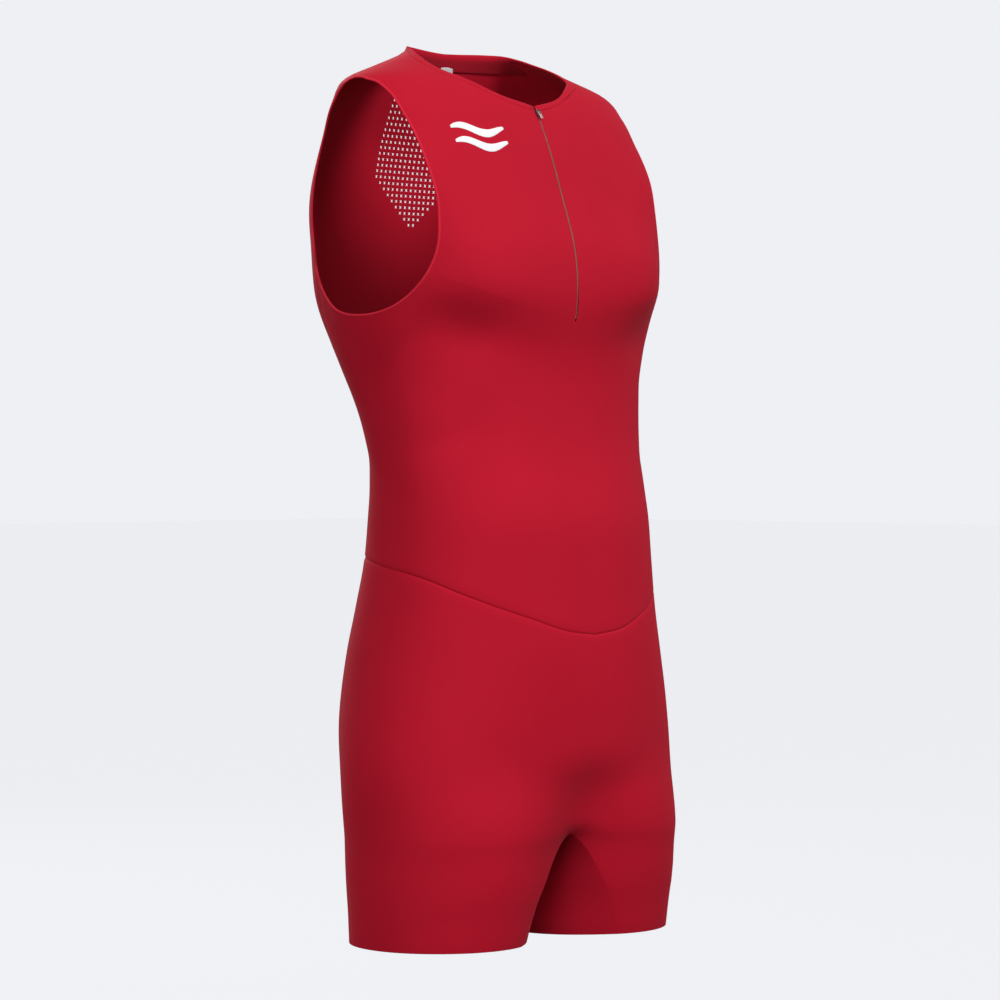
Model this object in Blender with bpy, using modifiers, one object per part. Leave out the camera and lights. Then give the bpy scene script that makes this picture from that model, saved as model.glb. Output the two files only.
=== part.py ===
"""Sleeveless triathlon suit, worn form, hanging from the two neck points.

Metres, +Z up, front faces -Y.  The origin is on the centre plane at the height of
the neck points, 11 mm in front of the line between them.
Every panel is a grid laid on one body surface, given by how far round the
half body it is (0 centre front, 0.5 side, 1 centre back) and by its height.
"""
import bpy
import bmesh
from math import sin, cos, pi, exp, sqrt, atan2, asin
from mathutils import Matrix, Vector

# ---------------------------------------------------------------- sizes
CLOTH = 0.0010            # wall of the knit panels
SEAM_GAP = 0.00045        # between neighbouring panels
INNER_GAP = 0.0007        # drawn back from the inner leg panel, where walls meet at an angle
HEM = -0.7620             # height of the leg hems
CROTCH = -0.6720          # height of the crotch
MERGE_TOP = -0.5900       # height where the two thighs begin to part
ROUNDNESS = 0.89          # 1 is an ellipse, lower is squarer
SIDE = 0.660              # side seams, a little behind the side
SHOULDER = 0.500          # shoulder seams, on the ridge
YOKE = 0.296              # where the front armhole starts to run under the arm
SLIT_END = -0.2365        # lower end of the front zip opening
SLIT_HALF = 0.0011        # half the width of the zip opening
SLIT_NOTCH = 0.0020       # height over which the opening comes to its width
EASE = 1.3                # packs the front columns towards the zip
UNDER = 0.0007            # clear space under a panel, for what is sewn behind it
NECK_UNDER = 0.0014       # the same round the back neck, which curves more
BAND_WALL = 0.0016        # folded neck binding
TAPE_HALF = 0.0070        # half width of the zip tape
TAPE_END = -0.2450        # lower end of the zip tape
ZIP_TOP = -0.0560         # upper end of the zip tape and coil
COIL_HALF = 0.0007        # half width of the zip coil
SLIDER_AT = -0.0560       # height of the slider
SLIDER_SIZE = (0.0038, 0.0062, 0.0016)   # across, along, thick
BAIL_RADIUS = 0.00165     # wire centre line of the slider's loop
BAIL_WIRE = 0.00035
BAIL_SINK = 0.0001        # how deep the loop's feet stand in the slider
PULL_SIZE = (0.0030, 0.0072, 0.0007)     # across, along, thick
PULL_EYE = (0.0015, 0.00205)             # across, along
PULL_BAR = 0.0007         # bar of the pull that runs under the loop
PULL_LIFT = 0.00058       # pull's plane above the slider's face
MOTIF_X = (-0.1040, -0.0480)             # ends of the chest motif
MOTIF_Z = (-0.0745, -0.0870)             # heights of its two bands
MOTIF_HALF = 0.0036       # half height of a band
MOTIF_WAVE = 0.0030       # rise and fall of a band
LABEL_X = (-0.0030, 0.0110)
LABEL_Z = (-0.0120, -0.0240)
NECK_TAPE = 0.0085        # depth of the tape inside the back neck
HEM_SEAM_X = 0.0593       # inner leg seam at the hem, from the middle
HEM_INNER_X = 0.0109      # innermost point of the leg at the hem
SEAM_CURVE = 1.25         # how fast the inner leg seam leaves the crotch

# height, half width, front, back
TRUNK = (
    (0.012, 0.0600, -0.0060, 0.0400),
    (0.000, 0.0690, -0.0190, 0.0410),
    (-0.014, 0.1060, -0.0350, 0.0440),
    (-0.028, 0.1445, -0.0530, 0.0500),
    (-0.050, 0.1610, -0.0711, 0.0600),
    (-0.077, 0.1660, -0.0855, 0.0710),
    (-0.100, 0.1690, -0.0947, 0.0765),
    (-0.125, 0.1710, -0.1035, 0.0800),
    (-0.150, 0.1720, -0.1125, 0.0820),
    (-0.172, 0.1720, -0.1190, 0.0820),
    (-0.192, 0.1710, -0.1220, 0.0815),
    (-0.212, 0.1690, -0.1225, 0.0800),
    (-0.236, 0.1645, -0.1200, 0.0770),
    (-0.260, 0.1580, -0.1160, 0.0725),
    (-0.280, 0.1520, -0.1140, 0.0665),
    (-0.300, 0.1470, -0.1145, 0.0585),
    (-0.320, 0.1430, -0.1163, 0.0515),
    (-0.340, 0.1400, -0.1191, 0.0475),
    (-0.360, 0.1380, -0.1240, 0.0465),
    (-0.380, 0.1365, -0.1300, 0.0485),
    (-0.400, 0.1360, -0.1360, 0.0530),
    (-0.440, 0.1375, -0.1410, 0.0585),
    (-0.480, 0.1430, -0.1430, 0.0660),
    (-0.520, 0.1505, -0.1455, 0.0720),
    (-0.560, 0.1580, -0.1460, 0.0710),
    (-0.600, 0.1640, -0.1445, 0.0650),
    (-0.640, 0.1665, -0.1425, 0.0570),
    (-0.680, 0.1660, -0.1430, 0.0500),
)

# height, centre across, centre deep, outer half width, half depth, front seam, back seam
LEG = (
    (-0.560, 0.0785, -0.0360, 0.0795, 0.1080, -0.1140, 0.0200),
    (-0.600, 0.0785, -0.0385, 0.0855, 0.1040, -0.1140, 0.0200),
    (-0.640, 0.0785, -0.0430, 0.0880, 0.0985, -0.1140, 0.0200),
    (-0.672, 0.0790, -0.0455, 0.0870, 0.0905, -0.1140, 0.0200),
    (-0.690, 0.0805, -0.0450, 0.0850, 0.0880, -0.1165, 0.0240),
    (-0.710, 0.0836, -0.0450, 0.0815, 0.0850, -0.1185, 0.0280),
    (-0.735, 0.0855, -0.0440, 0.0785, 0.0800, -0.1165, 0.0290),
    (-0.762, 0.0864, -0.0427, 0.0765, 0.0765, -0.1140, 0.0290),
)

# around, height, spread around, spread in height, out
FULLNESS = (
    (0.17, -0.195, 0.10, 0.042, 0.0075),
    (0.28, -0.115, 0.12, 0.050, 0.0130),
    (0.76, -0.135, 0.10, 0.060, 0.0130),
    (0.74, -0.215, 0.09, 0.040, 0.0085),
    (0.23, -0.246, 0.10, 0.026, -0.0055),
    (0.80, -0.590, 0.10, 0.055, 0.0060),
)

# around, height of the neck edge, height of the binding's lower edge
NECK = (
    (0.000, -0.0490, -0.0540),
    (0.056, -0.0415, -0.0462),
    (0.113, -0.0300, -0.0343),
    (0.206, -0.0195, -0.0236),
    (0.312, -0.0095, -0.0131),
    (0.400, -0.0040, -0.0073),
    (0.500, 0.0015, -0.0014),
    (0.600, 0.0048, 0.0008),
    (0.750, 0.0058, 0.0001),
    (1.000, 0.0040, -0.0020),
)

# around, height: front edge of the armhole, from under the arm to the shoulder
ARM_FRONT = (
    (0.296, -0.1960),
    (0.272, -0.1780),
    (0.258, -0.1550),
    (0.252, -0.1350),
    (0.258, -0.1130),
    (0.272, -0.0890),
    (0.294, -0.0670),
    (0.322, -0.0490),
    (0.362, -0.0375),
    (0.425, -0.0320),
    (0.500, -0.0300),
)

# around, height: lowest part of the armhole, front to back
ARM_UNDER = (
    (0.296, -0.1960),
    (0.330, -0.2110),
    (0.375, -0.2230),
    (0.430, -0.2300),
    (0.485, -0.2320),
    (0.540, -0.2295),
    (0.590, -0.2225),
    (0.630, -0.2105),
    (0.660, -0.1930),
)

# around, height: back edge of the armhole, from the side seam to the shoulder
ARM_BACK = (
    (0.660, -0.1930),
    (0.676, -0.1650),
    (0.678, -0.1350),
    (0.668, -0.1050),
    (0.645, -0.0780),
    (0.610, -0.0570),
    (0.560, -0.0410),
    (0.500, -0.0300),
)

# around, height: seam between the top and the shorts
WAIST = (
    (0.000, -0.5010),
    (0.056, -0.4975),
    (0.138, -0.4865),
    (0.225, -0.4755),
    (0.300, -0.4660),
    (0.406, -0.4530),
    (0.506, -0.4450),
    (0.650, -0.4375),
    (0.800, -0.4350),
    (1.000, -0.4350),
)

RED = (0.400, 0.008, 0.026, 1.0)
DEEP_RED = (0.260, 0.006, 0.018, 1.0)
PALE = (0.620, 0.620, 0.640, 1.0)
WHITE = (0.850, 0.850, 0.860, 1.0)
COIL_TONE = (0.200, 0.090, 0.085, 1.0)
METAL = (0.160, 0.150, 0.150, 1.0)


# ---------------------------------------------------------------- start clean
for old in list(bpy.data.objects):
    bpy.data.objects.remove(old, do_unlink=True)

suit = bpy.data.collections.new("triathlon_suit")
bpy.context.scene.collection.children.link(suit)


# ---------------------------------------------------------------- small tools
def smooth_row(table, at):
    """Read a table at one place, with a smooth curve through its rows."""
    rows = sorted(table)
    at = min(max(at, rows[0][0]), rows[-1][0])
    low = 0
    while low < len(rows) - 2 and rows[low + 1][0] < at:
        low += 1
    step = rows[low + 1][0] - rows[low][0]
    t = (at - rows[low][0]) / step
    values = []
    for k in range(1, len(rows[0])):
        tilt = []
        for j in (low, low + 1):
            before = max(j - 1, 0)
            after = min(j + 1, len(rows) - 1)
            wide_a = max(rows[j][0] - rows[before][0], 1e-9)
            wide_b = max(rows[after][0] - rows[j][0], 1e-9)
            rise_a = (rows[j][k] - rows[before][k]) / wide_a
            rise_b = (rows[after][k] - rows[j][k]) / wide_b
            if before == j:
                tilt.append(rise_b)
            elif after == j:
                tilt.append(rise_a)
            else:
                tilt.append((rise_a * wide_b + rise_b * wide_a) / (wide_a + wide_b))
        start = rows[low][k]
        end = rows[low + 1][k]
        value = (2 * t ** 3 - 3 * t ** 2 + 1) * start
        value += (t ** 3 - 2 * t ** 2 + t) * step * tilt[0]
        value += (3 * t ** 2 - 2 * t ** 3) * end
        value += (t ** 3 - t ** 2) * step * tilt[1]
        values.append(value)
    return values


def along(points, t):
    """Point a fraction t of the way along a list of (around, height) points."""
    lengths = [0.0]
    for a, b in zip(points[:-1], points[1:]):
        lengths.append(lengths[-1] + sqrt((0.5 * (b[0] - a[0])) ** 2 + (b[1] - a[1]) ** 2))
    table = []
    for length, point in zip(lengths, points):
        table.append((length / lengths[-1], point[0], point[1]))
    around, height = smooth_row(table, t)
    return around, height


def mix(a, b, t):
    return a + (b - a) * t


# ---------------------------------------------------------------- body surface
def leg_share(z):
    """0 at the crotch, 1 at the hem, quick to leave the crotch."""
    return sqrt(min(max((CROTCH - z) / (CROTCH - HEM), 0.0), 1.0))


def outline(z):
    """Half outline at one height: centre, half sizes, roundness and both seam ends."""
    half_width, front, back = smooth_row(TRUNK, z)
    middle = (front + back) / 2
    depth = (back - front) / 2
    trunk = (0.0, middle, half_width, depth, ROUNDNESS, 0.0, front, back)
    if z > MERGE_TOP:
        return trunk
    centre_x, centre_y, width, depth, front_y, back_y = smooth_row(LEG, z)
    seam_x = HEM_SEAM_X * leg_share(z) ** SEAM_CURVE
    leg = (centre_x, centre_y, width, depth, 1.0, seam_x, front_y, back_y)
    if z <= CROTCH:
        return leg
    step = (MERGE_TOP - z) / (MERGE_TOP - CROTCH)
    share = step ** 3 * (4 - 3 * step)
    return tuple(mix(a, b, share) for a, b in zip(trunk, leg))


def power(value, exponent):
    return abs(value) ** exponent * (1 if value >= 0 else -1)


def on_body(around, z):
    """Point on the suit's outer face."""
    centre_x, centre_y, width, depth, round_off, seam_x, front_y, back_y = outline(z)
    seam_y = front_y if around < 0.5 else back_y
    part = abs(1 - 2 * around)
    side = power((seam_x - centre_x) / width, 1 / round_off)
    deep = power((seam_y - centre_y) / depth, 1 / round_off)
    corner = atan2(deep, side)
    quarter = pi / 2 if corner > 0 else -pi / 2
    turn = quarter * part + (corner - quarter) * part ** 3
    x = centre_x + width * power(cos(turn), round_off)
    y = centre_y + depth * power(sin(turn), round_off)
    x += (seam_x - centre_x - width * power(cos(corner), round_off)) * part ** 6
    y += (seam_y - centre_y - depth * power(sin(corner), round_off)) * part ** 6
    half_width, front, back = smooth_row(TRUNK, z)
    way_x = x / half_width
    way_y = (y - (front + back) / 2) / ((back - front) / 2)
    size = sqrt(way_x ** 2 + way_y ** 2) + 1e-9
    push = 0.0
    for at, height, spread, tall, swell in FULLNESS:
        push += swell * exp(-((around - at) / spread) ** 2 - ((z - height) / tall) ** 2)
    calm = min(1.0, around / 0.05, (1 - around) / 0.05)
    return Vector((x + push * calm * way_x / size, y + push * way_y / size, z))


def body(around, z, out=0.0):
    """Point on the suit's outer face, or moved straight off it by out."""
    point = on_body(around, z)
    if not out:
        return point
    round_way = on_body(around + 0.004, z) - on_body(around - 0.004, z)
    up_way = on_body(around, z + 0.001) - on_body(around, z - 0.001)
    away = round_way.cross(up_way).normalized()
    if around in (0.0, 1.0):
        away.x = 0.0
    return point + away.normalized() * out


def front_at(x, z, out=0.0):
    """Point on the front at a given distance from the middle."""
    side = abs(x)
    half_width = smooth_row(TRUNK, z)[0]
    around = asin((side / half_width) ** (1 / ROUNDNESS)) / pi
    point = body(around, z, out)
    for step in range(3):
        around += (side - point.x) / (pi * half_width)
        around = max(around, 0.0)
        point = body(around, z, out)
    return Vector((x, point.y, point.z))


def inner_leg(across, z):
    """Inner face of one leg; across runs from the front seam to the back seam."""
    share = leg_share(z)
    front_y, back_y = smooth_row(LEG, z)[4:6]
    seam_x = HEM_SEAM_X * share ** SEAM_CURVE
    inner_x = HEM_INNER_X * share ** 0.8
    flatness = mix(3.2, 2.5, share)
    x = inner_x + (seam_x - inner_x) * abs(2 * across - 1) ** flatness
    return Vector((x, mix(front_y, back_y, across), z))


# ---------------------------------------------------------------- makers
def material(name, colour, rough, metal=0.0):
    made = bpy.data.materials.new(name)
    made.use_nodes = True
    shader = made.node_tree.nodes["Principled BSDF"]
    shader.inputs["Base Color"].default_value = colour
    shader.inputs["Roughness"].default_value = rough
    shader.inputs["Metallic"].default_value = metal
    return made


def add_object(name, bm, surface):
    mesh = bpy.data.meshes.new(name)
    bm.to_mesh(mesh)
    bm.free()
    made = bpy.data.objects.new(name, mesh)
    made.data.materials.append(surface)
    suit.objects.link(made)
    return made


def lay_grid(bm, place, across, up):
    """Add a grid and lay it on the body; place(u, v) gives each point."""
    made = bmesh.ops.create_grid(bm, x_segments=across, y_segments=up, size=0.5)
    for vert in made["verts"]:
        vert.co = place(vert.co.x + 0.5, vert.co.y + 0.5)


def trim_edges(bm, gap):
    """Draw every free edge back a little, so panels don't touch at their seams."""
    bm.normal_update()
    moves = []
    for vert in bm.verts:
        rim = [edge for edge in vert.link_edges if edge.is_boundary]
        inside = Vector((0.0, 0.0, 0.0))
        for face in vert.link_faces:
            inside += face.calc_center_median() - vert.co
        if abs(vert.co.x) < 1e-7:
            inside.x = 0.0
        ends = [edge.other_vert(vert) for edge in rim]
        ends = [end for end in ends if abs(vert.co.x) > 1e-7 or abs(end.co.x) > 1e-7]
        if not ends:
            continue
        if len(ends) > 1:
            tangent = (ends[0].co - ends[1].co).normalized()
        else:
            tangent = (ends[0].co - vert.co).normalized()
        if abs(vert.co.x) < 1e-7:
            tangent = Vector((1.0, 0.0, 0.0))
        inside -= tangent * inside.dot(tangent)
        moves.append((vert, inside.normalized() * gap))
    for vert, move in moves:
        vert.co += move


def panel(name, patches, surface, wall=CLOTH, gap=SEAM_GAP / 2, mirrored=True):
    """One cut piece: grids joined, drawn back at the seams, given a wall, mirrored."""
    bm = bmesh.new()
    for place, across, up in patches:
        lay_grid(bm, place, across, up)
    bmesh.ops.remove_doubles(bm, verts=bm.verts, dist=2e-5)
    for vert in bm.verts:
        if abs(vert.co.x) < 5e-5:
            vert.co.x = 0.0
    trim_edges(bm, gap)
    bmesh.ops.recalc_face_normals(bm, faces=bm.faces)
    centre = Vector((0.0, -0.03, 0.0))
    score = 0.0
    for face in bm.faces:
        middle = face.calc_center_median()
        score += face.normal.dot(Vector((middle.x - centre.x, middle.y - centre.y, 0.0)))
    if score < 0:
        bmesh.ops.reverse_faces(bm, faces=bm.faces)
    made = add_object(name, bm, surface)
    if mirrored:
        mirror = made.modifiers.new("mirror", "MIRROR")
        mirror.use_axis = (True, False, False)
        mirror.use_clip = True
        mirror.merge_threshold = 0.00005
    wall_mod = made.modifiers.new("wall", "SOLIDIFY")
    wall_mod.thickness = wall
    wall_mod.offset = -1.0
    wall_mod.use_even_offset = False
    return made


# ---------------------------------------------------------------- where panels lie
def waist(around):
    return smooth_row(WAIST, around)[0]


def under_arm(around):
    if around <= YOKE:
        return mix(SLIT_END, ARM_UNDER[0][1], around / YOKE)
    return smooth_row(ARM_UNDER, around)[0]


def between(start, end, bottom, top, ease=1.0):
    """Patch from one place round the body to another, between two heights."""
    def place(u, v):
        around = mix(start, end, u ** ease)
        return body(around, mix(bottom(around), top(around), v))
    return place


def ruled(left, right, keep_open=0.0, ease=1.0):
    """Patch between two lines on the body; keep_open holds its left edge off x = 0."""
    def place(u, v):
        a = left(v)
        b = right(v)
        point = body(mix(a[0], b[0], u ** ease), mix(a[1], b[1], u ** ease))
        if keep_open and v > 0.001:
            point.x = max(point.x, keep_open)
        return point
    return place


def level(height):
    return lambda around: height


def neck_line(start, end, count=9):
    points = []
    for k in range(count):
        around = mix(start, end, k / (count - 1))
        points.append((around, smooth_row(NECK, around)[1]))
    return points


FRONT_NECK = neck_line(0.0, SHOULDER)
BACK_NECK = neck_line(1.0, SHOULDER)
FRONT_SHARE = 9 / 19         # part of the yoke's rows that start on the zip
BACK_SHARE = 8 / 16         # part of the yoke's rows that start on the centre back


def front_left(v):
    """Up the zip, its first row short so the opening keeps its width, then the neck."""
    if v <= FRONT_SHARE:
        row = 9 * v / FRONT_SHARE
        start = SLIT_END + SLIT_NOTCH * min(row, 1.0)
        return 0.0, mix(start, FRONT_NECK[0][1], max(row - 1, 0.0) / 8)
    return along(FRONT_NECK, (v - FRONT_SHARE) / (1 - FRONT_SHARE))


def back_left(v):
    if v <= BACK_SHARE:
        return 1.0, mix(ARM_BACK[0][1], BACK_NECK[0][1], v / BACK_SHARE)
    return along(BACK_NECK, (v - BACK_SHARE) / (1 - BACK_SHARE))


def front_right(v):
    return along(ARM_FRONT, v)


def back_right(v):
    return along(ARM_BACK, v)


def leg_rows(start, end, ease=1.0):
    """Lower leg patch, its rows packed towards the crotch."""
    def place(u, v):
        return body(mix(start, end, u ** ease), mix(CROTCH, HEM, v * v))
    return place


def inner_rows(u, v):
    return inner_leg(u, mix(CROTCH, HEM, v * v))


# ---------------------------------------------------------------- cloth panels
knit = material("red_knit", RED, 0.75)
binding = material("neck_binding_knit", RED, 0.70)
tape = material("neck_tape_weave", DEEP_RED, 0.80)
label = material("label_weave", PALE, 0.70)
print_white = material("raised_white_print", WHITE, 0.45)
zip_weave = material("zip_tape_weave", DEEP_RED, 0.80)
coil = material("zip_coil_plastic", COIL_TONE, 0.45)
slider_metal = material("slider_metal", METAL, 0.35, 0.9)
pull_metal = material("pull_metal", (0.450, 0.400, 0.390, 1.0), 0.40, 0.6)

panel("top_front", (
    (between(0.0, YOKE, waist, under_arm, EASE), 6, 12),
    (between(YOKE, SIDE, waist, under_arm), 8, 12),
    (ruled(front_left, front_right, SLIT_HALF + SEAM_GAP / 2, EASE), 6, 19),
), knit)
panel("top_back", (
    (between(1.0, SIDE, waist, level(ARM_BACK[0][1])), 7, 12),
    (ruled(back_left, back_right), 7, 16),
), knit)
panel("shorts_front", (
    (between(0.0, YOKE, level(CROTCH), waist, EASE), 6, 9),
    (between(YOKE, SIDE, level(CROTCH), waist), 8, 9),
    (leg_rows(0.0, YOKE, EASE), 6, 7),
    (leg_rows(YOKE, SIDE), 8, 7),
), knit)
panel("shorts_back", (
    (between(1.0, SIDE, level(CROTCH), waist), 7, 9),
    (leg_rows(1.0, SIDE), 7, 7),
), knit)
panel("inner_leg_panel", ((inner_rows, 9, 7),), knit, gap=INNER_GAP)


# ---------------------------------------------------------------- neck and label
def neck_band(line):
    """Binding above the panels' neck line, in step with their points."""
    def place(u, v):
        around, seam = along(line, u)
        point = body(around, mix(seam, smooth_row(NECK, around)[0], v), 0.0003)
        if around < 0.5:
            point.x = max(point.x, SLIT_HALF + SEAM_GAP / 2)
        return point
    return place


def back_tape(u, v):
    around = mix(0.60, 1.0, u)
    seam = smooth_row(NECK, around)[1]
    return body(around, seam - 0.0012 - NECK_TAPE * v, -CLOTH - NECK_UNDER)


def back_at(x, z, out):
    """Point on the back at a given distance from the middle."""
    side = abs(x)
    half_width = smooth_row(TRUNK, z)[0]
    around = 1 - asin((side / half_width) ** (1 / ROUNDNESS)) / pi
    point = body(around, z, out)
    return Vector((x, point.y, point.z))


def label_patch(u, v):
    deep = -CLOTH - NECK_UNDER - CLOTH - 0.0006
    return back_at(mix(LABEL_X[0], LABEL_X[1], u), mix(LABEL_Z[0], LABEL_Z[1], v), deep)


panel("neck_binding", (
    (neck_band(FRONT_NECK), 10, 2),
    (neck_band(BACK_NECK), 8, 2),
), binding, wall=BAND_WALL)
panel("back_neck_tape", ((back_tape, 12, 2),), tape, gap=0.0)
panel("neck_label", ((label_patch, 4, 3),), label, gap=0.0, mirrored=False)


# ---------------------------------------------------------------- zip
def zip_tape(u, v):
    return front_at(TAPE_HALF * u, mix(TAPE_END, ZIP_TOP, v), -CLOTH - UNDER)


def zip_coil(u, v):
    return front_at(COIL_HALF * u, mix(SLIT_END + 0.0030, ZIP_TOP, v), -0.0002)


panel("zip_tape", ((zip_tape, 2, 12),), zip_weave, gap=0.0)
panel("zip_coil", ((zip_coil, 1, 12),), coil, wall=0.0011, gap=0.0)


def zip_frame():
    """Axes at the slider: across, up along the zip, and out from the cloth."""
    low = front_at(0.0, SLIDER_AT - 0.004)
    high = front_at(0.0, SLIDER_AT + 0.004)
    up = (high - low).normalized()
    across = Vector((1.0, 0.0, 0.0))
    out = across.cross(up).normalized()
    turn = Matrix((across, up, out)).transposed().to_4x4()
    turn.translation = front_at(0.0, SLIDER_AT)
    return turn


FRAME = zip_frame()
FACE = 0.0006 + SLIDER_SIZE[2]            # slider's outer face above the cloth


def box(name, size, centre, surface, edge=0.0):
    """A box in the slider's axes, its edges softened."""
    bm = bmesh.new()
    scale = Matrix.Diagonal((size[0], size[1], size[2], 1.0))
    bmesh.ops.create_cube(bm, size=1.0, matrix=FRAME @ Matrix.Translation(centre) @ scale)
    made = add_object(name, bm, surface)
    if edge:
        soft = made.modifiers.new("soft_edges", "BEVEL")
        soft.width = edge
        soft.segments = 2
    return made


forms = bpy.data.collections.new("forms")
bpy.context.scene.collection.children.link(forms)


def join_form(target, form, operation):
    """Add or cut a hidden form."""
    suit.objects.unlink(form)
    forms.objects.link(form)
    form.hide_render = True
    form.display_type = "WIRE"
    cut = target.modifiers.new(form.name, "BOOLEAN")
    cut.operation = operation
    cut.solver = "EXACT"
    cut.object = form


slider = box("zip_slider", SLIDER_SIZE, (0, 0, 0.0006 + SLIDER_SIZE[2] / 2), slider_metal, 0.0004)
bm = bmesh.new()
ring = bmesh.ops.create_circle(bm, cap_ends=True, segments=10, radius=BAIL_WIRE)
for vert in ring["verts"]:
    vert.co = Vector((vert.co.x, BAIL_RADIUS + vert.co.y, -BAIL_SINK))
bmesh.ops.spin(
    bm, geom=bm.verts[:] + bm.edges[:] + bm.faces[:], cent=(0, 0, -BAIL_SINK),
    axis=(1, 0, 0), dvec=(0, 0, 0), angle=pi, steps=12, use_duplicate=False,
)
bmesh.ops.recalc_face_normals(bm, faces=bm.faces)
bmesh.ops.transform(bm, matrix=FRAME @ Matrix.Translation((0, 0, FACE)), verts=bm.verts)
bail = add_object("bail_form", bm, slider_metal)
join_form(slider, bail, "UNION")

pull_centre = (0, PULL_BAR / 2 - PULL_SIZE[1] / 2, FACE + PULL_LIFT)
pull = box("zip_pull", PULL_SIZE, pull_centre, pull_metal, 0.0002)
eye_centre = (0, -PULL_BAR / 2 - PULL_EYE[1] / 2, FACE + PULL_LIFT)
eye = box("eye_form", (PULL_EYE[0], PULL_EYE[1], 0.003), eye_centre, pull_metal)
join_form(pull, eye, "DIFFERENCE")


# ---------------------------------------------------------------- chest motif
def wavy_band(height):
    def place(u, v):
        x = mix(MOTIF_X[0], MOTIF_X[1], u)
        wave = MOTIF_WAVE * sin(2 * pi * 1.1 * u + 0.4)
        half = MOTIF_HALF * (0.25 + 0.75 * sin(pi * u) ** 0.6)
        return front_at(x, height + wave + half * (2 * v - 1), 0.0014)
    return place


panel("chest_band_upper", ((wavy_band(MOTIF_Z[0]), 11, 2),), print_white, gap=0.0, mirrored=False)
panel("chest_band_lower", ((wavy_band(MOTIF_Z[1]), 11, 2),), print_white, gap=0.0, mirrored=False)
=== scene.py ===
"""Looks of the sleeveless triathlon suit: thin knit panels, seams, turned edges, zip and print.

Every panel is laid on the same body surface as its solid: "around" runs over the
half body from 0 at the centre front through 0.5 at the side to 1 at the centre
back, and the height is world Z.  Metres throughout.
"""
import bpy
import bmesh
from math import sin, cos, pi, exp, sqrt, atan2, asin, radians
from mathutils import Matrix, Vector, noise
from mathutils.kdtree import KDTree


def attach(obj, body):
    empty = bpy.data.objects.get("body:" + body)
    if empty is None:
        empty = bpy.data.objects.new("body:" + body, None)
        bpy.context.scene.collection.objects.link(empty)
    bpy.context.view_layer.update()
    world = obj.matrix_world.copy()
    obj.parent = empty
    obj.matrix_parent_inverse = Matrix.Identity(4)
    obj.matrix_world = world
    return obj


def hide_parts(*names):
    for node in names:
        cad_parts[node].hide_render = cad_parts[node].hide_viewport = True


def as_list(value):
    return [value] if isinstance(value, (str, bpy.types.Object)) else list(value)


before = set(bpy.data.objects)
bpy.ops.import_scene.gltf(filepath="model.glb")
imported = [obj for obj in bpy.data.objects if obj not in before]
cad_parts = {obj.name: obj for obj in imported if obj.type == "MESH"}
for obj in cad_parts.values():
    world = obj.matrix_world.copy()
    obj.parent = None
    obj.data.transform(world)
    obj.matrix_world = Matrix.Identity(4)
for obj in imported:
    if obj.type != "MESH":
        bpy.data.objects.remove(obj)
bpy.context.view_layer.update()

# ---------------------------------------------------------------- sizes
KNIT = 0.0007             # wall of the knit panels
SEAM_DRAW = 0.00006       # each panel's edge is drawn back this much at a seam
HEM = -0.7620
CROTCH = -0.6720
MERGE_TOP = -0.5900       # height where the two thighs begin to part
ROUNDNESS = 0.89          # 1 is an ellipse, lower is squarer
SIDE = 0.660              # side seams
SHOULDER = 0.500          # shoulder seams
YOKE = 0.296              # where the front armhole starts to run under the arm
SLIT_END = -0.2365        # lower end of the zip opening
SLIT_HALF = 0.0010        # half the width of the zip opening
SLIT_NOTCH = 0.0020       # height over which the opening comes to its width
HEM_SEAM_X = 0.0593       # inner leg seam at the hem, from the middle
HEM_INNER_X = 0.0109      # innermost point of the leg at the hem
SEAM_CURVE = 1.25         # how fast the inner leg seam leaves the crotch

# height, half width, front, back
TRUNK = (
    (0.012, 0.0600, -0.0060, 0.0400),
    (0.000, 0.0690, -0.0190, 0.0410),
    (-0.014, 0.1060, -0.0350, 0.0440),
    (-0.028, 0.1445, -0.0530, 0.0500),
    (-0.050, 0.1610, -0.0711, 0.0600),
    (-0.077, 0.1660, -0.0855, 0.0710),
    (-0.100, 0.1690, -0.0947, 0.0765),
    (-0.125, 0.1710, -0.1035, 0.0800),
    (-0.150, 0.1720, -0.1125, 0.0820),
    (-0.172, 0.1720, -0.1190, 0.0820),
    (-0.192, 0.1710, -0.1220, 0.0815),
    (-0.212, 0.1690, -0.1225, 0.0800),
    (-0.236, 0.1645, -0.1200, 0.0770),
    (-0.260, 0.1580, -0.1160, 0.0725),
    (-0.280, 0.1520, -0.1140, 0.0665),
    (-0.300, 0.1470, -0.1145, 0.0585),
    (-0.320, 0.1430, -0.1163, 0.0515),
    (-0.340, 0.1400, -0.1191, 0.0475),
    (-0.360, 0.1380, -0.1240, 0.0465),
    (-0.380, 0.1365, -0.1300, 0.0485),
    (-0.400, 0.1360, -0.1360, 0.0530),
    (-0.440, 0.1375, -0.1410, 0.0585),
    (-0.480, 0.1430, -0.1430, 0.0660),
    (-0.520, 0.1505, -0.1455, 0.0720),
    (-0.560, 0.1580, -0.1460, 0.0710),
    (-0.600, 0.1640, -0.1445, 0.0650),
    (-0.640, 0.1665, -0.1425, 0.0570),
    (-0.680, 0.1660, -0.1430, 0.0500),
)

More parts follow.
